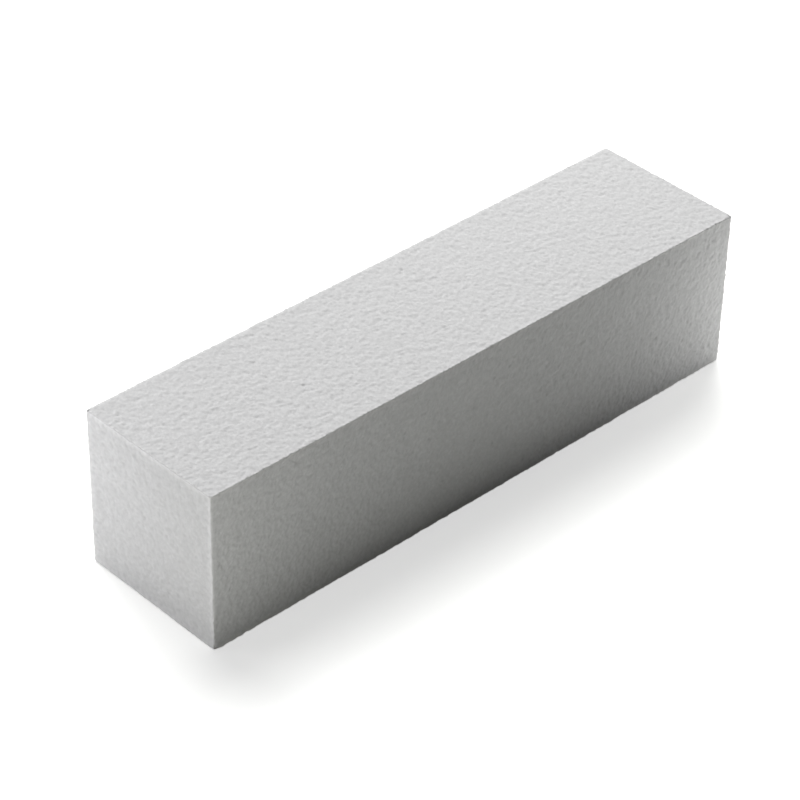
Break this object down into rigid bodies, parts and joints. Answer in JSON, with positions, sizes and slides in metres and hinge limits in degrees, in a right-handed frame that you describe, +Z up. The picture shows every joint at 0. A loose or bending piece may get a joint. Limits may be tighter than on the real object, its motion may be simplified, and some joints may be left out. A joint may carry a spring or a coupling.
{
  "type": "nail buffer block",
  "caption": "Rectangular foam block with a fine abrasive coat on its four long faces and bare foam ends, for smoothing fingernails.",
  "frame": {"origin": "centre of the coated face that the block rests on", "axes": "+X along the length towards the right end, +Y across the width towards the rear, +Z up"},
  "size_m": [0.095, 0.0242, 0.0247],
  "materials": {
    "foam": "pale grey-white fine-celled foam, sawn, matt",
    "bond_resin": "dull cured resin film, slightly grey",
    "abrasive_grit": "off-white abrasive grains in resin, rough and matt with a faint sparkle"
  },
  "bodies": {
    "root": {"foam_core": "foam", "top_bond_coat": "bond_resin", "top_grit_coat": "abrasive_grit", "bottom_bond_coat": "bond_resin", "bottom_grit_coat": "abrasive_grit", "front_bond_coat": "bond_resin", "front_grit_coat": "abrasive_grit", "rear_bond_coat": "bond_resin", "rear_grit_coat": "abrasive_grit"}
  },
  "joints": []
}
